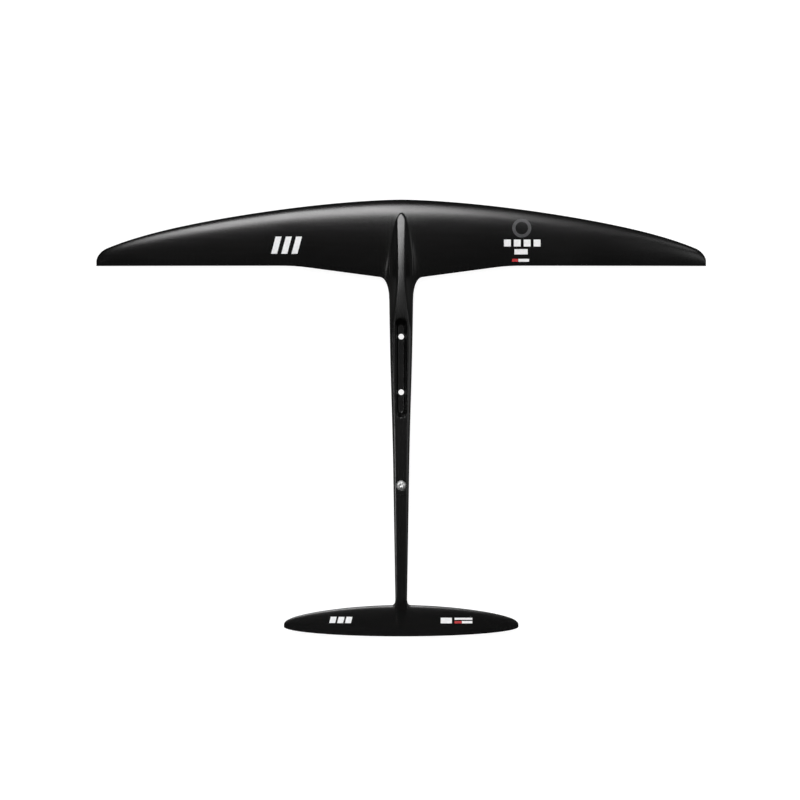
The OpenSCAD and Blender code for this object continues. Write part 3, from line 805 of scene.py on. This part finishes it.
RING_R, MOUTH_R = 9.2, 8.2
BORE_BEVEL, RING_BEVEL, MOUTH_LAND = 0.3, 0.4, 0.1
seat_profile = [
    (MAST_HOLE_R, SEAT_LOW + MOUTH_R - MAST_HOLE_R), (MAST_HOLE_R, SEAT_TOP - BORE_BEVEL),
    (MAST_HOLE_R + BORE_BEVEL, SEAT_TOP), (RING_R - RING_BEVEL, SEAT_TOP),
    (RING_R, SEAT_TOP - RING_BEVEL), (RING_R, SEAT_LOW + RING_BEVEL),
    (RING_R - RING_BEVEL, SEAT_LOW), (MOUTH_R + MOUTH_LAND, SEAT_LOW)]
seats = [lathe("mast_seats_turned", seat_profile, side * MAST_HALF_PITCH, STEEL)
         for side in (1, -1)]
joined = bmesh.new()
for seat in seats:
    joined.from_mesh(seat.data)
joined.to_mesh(seats[0].data)
joined.free()
bpy.data.objects.remove(seats[1])
seats[0].data.set_sharp_from_angle(angle=CUT_ANGLE)
place(seats[0], "foil", "steel", "mast_bolt_seats")

# ---------------------------------------------------------------- tail moulding
BOOM_STEPS, STAB_FILLET_STEPS, STAB_STEPS, STAB_CHORD_STEPS = 24, 6, 39, 30


def tail_plan():
    """The tail's plan as two patches: the boom, and the stabiliser under it."""
    boom = patch([[(f * float(body_half(y)), y) for f in both(BODY_F)]
                  for y in np.linspace(TAIL_START_Y, BOOM_END_Y, BOOM_STEPS + 1)])
    fillet_xs = HALF_TAIL + STAB_FILLET_X * np.linspace(0, 1, STAB_FILLET_STEPS + 1)[1:]
    t = np.linspace(0, 1, STAB_STEPS + 1)[1:]
    wing_xs = mix(HALF_TAIL + STAB_FILLET_X, STAB_HALF, np.sin(np.pi / 2 * t))
    xs = both(np.concatenate([HALF_TAIL * BODY_F, fillet_xs, wing_xs]))
    noses = np.minimum(stab_nose(xs), BOOM_END_Y)
    shares = 1 - np.cos(np.pi / 2 * np.linspace(0, 1, STAB_CHORD_STEPS + 1))
    stab = patch([[(x, mix(nose, float(stab_rear(x)), c)) for x, nose in zip(xs, noses)]
                  for c in shares])
    return [boom, stab]


tail_patches = tail_plan()
tail_upper = plan_solid(
    "tail_shell_upper", [lift(p, lambda x, y: tail_z(x, y, 1)) for p in tail_patches],
    lambda x, y: tail_z(x, y, 1, True), TAIL_COAT_PAINTED_SHADE)
place(tail_upper, "foil", "laminate", "tail_skin_upper")
tail_lower = plan_solid(
    "tail_shell_lower", [lift(p, lambda x, y: tail_z(x, y, -1, True)) for p in tail_patches],
    lambda x, y: tail_z(x, y, -1), TAIL_COAT_PAINTED_SHADE)
place(tail_lower, "foil", "laminate", "tail_skin_lower")

# ---------------------------------------------------------------- tail screw
SHANK_R = 3.95
HEAD_RIM, RECESS_DEPTH = 2.0, 2.6
HEAD_LOW = span("tail_screw_washer", 2)[1]
DOME_H = SCREW_TOP - HEAD_LOW - HEAD_RIM
DOME_R = (HEAD_R**2 + DOME_H**2) / (2 * DOME_H)
TIP_R, TIP_BEVEL, HEAD_BEVEL = 1.2, 0.8, 0.3
DOME_RING_RS = (HEAD_R - 0.15, HEAD_R - 0.5, 6.0, 5.4, 4.8, 4.2)
DOME_LIFT, RIM_LIFT = -0.02, -0.1
LOBE_R, LOBE_WAVE, LOBE_COUNT = 2.95, 0.42, 6
LOBE_MOUTH, LOBE_LIP, LOBE_FOOT = 0.28, 0.08, -0.3
LIP_DEPTHS, FOOT_RISE = (0.42, 0.65), 0.3
DRILL_R, DRILL_DEPTH = 0.6, 0.5


def screw_loops(sides=192):
    """Loops from the shank's tip, over the head and down into its six-lobed recess."""
    turns = [2 * math.pi * k / sides for k in range(sides)]

    def ring(radius, z):
        return [(radius * math.cos(a), SCREW_Y + radius * math.sin(a), z) for a in turns]

    def dome(radius):
        return SCREW_TOP - DOME_R + math.sqrt(DOME_R**2 - radius**2)

    def lobed(grow, z):
        radii = [LOBE_R + LOBE_WAVE * math.cos(LOBE_COUNT * a) + grow for a in turns]
        return [(r * math.cos(a), SCREW_Y + r * math.sin(a), dome(r) if z is None else z)
                for r, a in zip(radii, turns)]

    floor_z = SCREW_TOP - RECESS_DEPTH
    loops = [ring(TIP_R, SCREW_TIP), ring(SHANK_R - TIP_BEVEL, SCREW_TIP)]
    loops += [ring(SHANK_R, SCREW_TIP + TIP_BEVEL), ring(SHANK_R, HEAD_LOW - HEAD_BEVEL)]
    loops += [ring(SHANK_R + HEAD_BEVEL, HEAD_LOW), ring(HEAD_R - HEAD_BEVEL, HEAD_LOW)]
    loops += [ring(HEAD_R, HEAD_LOW + HEAD_BEVEL)]
    loops += [ring(HEAD_R, HEAD_LOW + HEAD_RIM + RIM_LIFT)]
    loops += [ring(r, dome(r) + DOME_LIFT) for r in DOME_RING_RS]
    loops += [lobed(LOBE_MOUTH, None), lobed(LOBE_LIP, SCREW_TOP - LIP_DEPTHS[0])]
    loops += [lobed(0.0, SCREW_TOP - LIP_DEPTHS[1]), lobed(0.0, floor_z + FOOT_RISE)]
    loops += [lobed(LOBE_FOOT, floor_z), ring(DRILL_R, floor_z - DRILL_DEPTH)]
    return loops


screw = loops_solid("tail_screw_domed", screw_loops(), SCREW_STEEL, 28)
place(screw, "screw", "steel", "tail_screw")

# ---------------------------------------------------------------- generic printed marks
INK_UP, INK_DOWN = 0.06, 0.02


def mark(name, patches, surface, material):
    """A thin film of ink that follows the shell under it."""
    film = plan_solid(name, [lift(p, lambda x, y: surface(x, y) + INK_UP) for p in patches],
                      lambda x, y: surface(x, y) - INK_DOWN, material)
    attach(film, "foil")


def bar(x0, x1, y0, y1, lean=0.0, n=8):
    """The plan of a bar from y0 down to y1, leaning by lean."""
    rows = []
    for t in np.linspace(0, 1, n + 1):
        shift = lean * (0.5 - t)
        rows.append([(x + shift, mix(y0, y1, t)) for x in np.linspace(x0, x1, n + 1)])
    return patch(rows)


def ring_plan(centre_x, centre_y, r0, r1, sides=64):
    """The plan of a flat ring."""
    turns = [2 * math.pi * k / sides for k in range(sides)] + [0.0]
    return patch([[(centre_x + r * math.cos(a), centre_y + r * math.sin(a)) for a in turns]
                  for r in np.linspace(r0, r1, 5)])


def stab_top(x, y):
    return tail_z(x, y, 1)


def slanted(xs, width, y0, y1, lean):
    """A row of equal slanted bars that start at the given places."""
    return [bar(x, x + width, y0, y1, lean) for x in xs]


TAG_Y = (160.3, 155.9)
STAB_LINE_1, STAB_LINE_2 = (-384.2, -387.4), (-389.2, -392.8)
STAB_BLOCK = (STAB_LINE_1[0], STAB_LINE_2[1])
RING_CENTRE, RING_RADII = (183, 207), (9.5, 14.5)
mark("print_bars_left", slanted((-194, -178.5, -163), 9, 194, 168, 7), outer_top, WHITE_INK)
mark("print_ring_right", [ring_plan(*RING_CENTRE, *RING_RADII)], outer_top, GREY_INK)
mark("print_bars_right",
     slanted((156, 171, 186, 201), 10.5, 189.5, 179, 0) + [bar(172, 192, 175, 167)],
     outer_top, WHITE_INK)
mark("print_tag_red", [bar(168.4, 177.4, *TAG_Y)], outer_top, RED_INK)
mark("print_tag_white", [bar(177.9, 194.3, *TAG_Y)], outer_top, WHITE_INK)
mark("print_bars_stab_left", slanted((-108, -96, -84), 9, -382.8, -392.4, 2.5),
     stab_top, WHITE_INK)
mark("print_bars_stab_right",
     [bar(60, 77, *STAB_BLOCK), bar(81, 108, *STAB_LINE_1), bar(92.2, 108, *STAB_LINE_2)],
     stab_top, WHITE_INK)
mark("print_tag_stab_red", [bar(81, 91.6, *STAB_LINE_2)], stab_top, RED_INK)

# ---------------------------------------------------------------- finishes of the CAD nodes
FINISHES = {
    "wing_spar": CARBON, "tail_sleeve": CARBON, "tail_tenon": CARBON,
    "stabilizer_core_left": CARBON, "stabilizer_core_right": CARBON,
    "wing_nose_core_left": FOAM, "wing_nose_core_right": FOAM,
    "wing_rear_core_left": FOAM, "wing_rear_core_right": FOAM,
    "fuselage_nose_core": FOAM, "fuselage_core": FOAM, "tail_boom_core": FOAM,
    "tail_screw_seat": STEEL, "tail_threaded_insert": STEEL, "tail_screw_washer": NYLON,
}
for node_name, finish in FINISHES.items():
    node = frame["nodes"][node_name]
    if not node.material_slots:
        node.data.materials.append(finish)
    for material_slot in node.material_slots:
        material_slot.material = finish

# ---------------------------------------------------------------- floor, light and camera
scene = bpy.context.scene
scene.view_settings.view_transform = "Standard"
scene.view_settings.look = "None"

world = bpy.data.worlds.new("studio")
scene.world = world
world.use_nodes = True
world_nodes, world_links = world.node_tree.nodes, world.node_tree.links
direction = world_nodes.new("ShaderNodeTexCoord")
height = world_nodes.new("ShaderNodeSeparateXYZ")
sky = world_nodes.new("ShaderNodeValToRGB")
world_links.new(direction.outputs["Generated"], height.inputs[0])
world_links.new(height.outputs["Z"], sky.inputs["Fac"])
world_links.new(sky.outputs["Color"], world_nodes["Background"].inputs["Color"])
# A little brighter near the horizon than overhead: height of each stop, and its grey
SKY = ((0.30, 0.10), (0.62, 0.028))
for stop, (stop_height, grey) in zip(sky.color_ramp.elements, SKY):
    stop.position = stop_height
    stop.color = (grey, grey, grey, 1)

FLOOR_HALF = 26.0
FLOOR_GAP, FLOOR_GLOW = 0.0006, 0.88
FLOOR_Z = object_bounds()[0].z - FLOOR_GAP
WALL_SIDES = 96
WALL_PROFILE = [(20.0, 0.0), (22.4, 0.2), (24.4, 1.2), (25.6, 3.2), (26.0, 6.0), (26.0, 28.0)]
floor_mesh = bpy.data.meshes.new("floor")
corners = [(-FLOOR_HALF, -FLOOR_HALF), (FLOOR_HALF, -FLOOR_HALF), (FLOOR_HALF, FLOOR_HALF),
           (-FLOOR_HALF, FLOOR_HALF)]
floor_mesh.from_pydata([(x, y, FLOOR_Z) for x, y in corners], [], [[0, 1, 2, 3]])
floor = bpy.data.objects.new("floor", floor_mesh)

# The backdrop is only seen straight by a camera, and neither lights nor shades anything
wall_turns = [2 * math.pi * k / WALL_SIDES for k in range(WALL_SIDES)]
wall_points = [(radius * math.cos(a), radius * math.sin(a), FLOOR_Z + rise)
               for radius, rise in WALL_PROFILE for a in wall_turns]
wall_faces = [[r * WALL_SIDES + k, r * WALL_SIDES + (k + 1) % WALL_SIDES,
               (r + 1) * WALL_SIDES + (k + 1) % WALL_SIDES, (r + 1) * WALL_SIDES + k]
              for r in range(len(WALL_PROFILE) - 1) for k in range(WALL_SIDES)]
wall_mesh = bpy.data.meshes.new("backdrop")
wall_mesh.from_pydata(wall_points, [], wall_faces)
wall_mesh.shade_smooth()
backdrop = bpy.data.objects.new("backdrop", wall_mesh)
backdrop.visible_diffuse = False
backdrop.visible_shadow = False

pale = Surface("pale_floor", specular=0.0)
paper = pale.noise(3, 3)
pale.done(pale.ramp(paper, 0.27, 0.30), pale.ramp(paper, 0.85, 0.95),
          pale.bump(paper, 0.0005, 0.1))
pale.shader.inputs["Emission Color"].default_value = (1, 1, 1, 1)
pale.shader.inputs["Emission Strength"].default_value = FLOOR_GLOW
for stage in (floor, backdrop):
    stage.data.materials.append(pale.material)
    stage.visible_glossy = False
    scene.collection.objects.link(stage)


def softbox(name, place_at, aim, size, radiance, glossy=True, spread=180):
    """A rectangular light at a place, aimed at a point, set by how bright its face is."""
    light = bpy.data.lights.new(name, "AREA")
    light.shape = "RECTANGLE"
    light.size, light.size_y = size
    light.spread = math.radians(spread)
    light.energy = radiance * math.pi * size[0] * size[1]
    lamp = bpy.data.objects.new(name, light)
    lamp.location = Vector(place_at)
    lamp.rotation_euler = (Vector(aim) - lamp.location).to_track_quat("-Z", "Y").to_euler()
    lamp.visible_glossy = glossy
    scene.collection.objects.link(lamp)


MIDDLE = (0, -0.08, 0)
BOOM = (0, -0.30, 0.01)
softbox("key", (-0.95, 3.45, 7.1), MIDDLE, (3.2, 2.6), 13.5)
softbox("boom_left", (-1.05, -0.40, 1.5), BOOM, (0.55, 0.34), 0.235, spread=28)
softbox("right", (4.6, -0.2, 6.4), MIDDLE, (1.8, 5.0), 1.25)
softbox("right_front", (3.4, 2.6, 6.6), MIDDLE, (0.9, 2.0), 2.8)
softbox("fill", (0.0, -0.4, 7.0), MIDDLE, (7.0, 7.0), 1.5, glossy=False)

CAMERA_HEIGHT = 8.0
VIEW_CENTRE = (-0.0018, -0.0540)
VIEW_WIDTH = 1.216
VIEW_DROP = 0.017
SENSOR_WIDTH = 36
camera_data = bpy.data.cameras.new("camera")
camera_data.sensor_width = SENSOR_WIDTH
camera_data.lens = SENSOR_WIDTH * (CAMERA_HEIGHT + VIEW_DROP) / VIEW_WIDTH
camera_data.clip_end = 100
camera = bpy.data.objects.new("camera", camera_data)
camera.location = (VIEW_CENTRE[0], VIEW_CENTRE[1], CAMERA_HEIGHT)
scene.collection.objects.link(camera)
scene.camera = camera
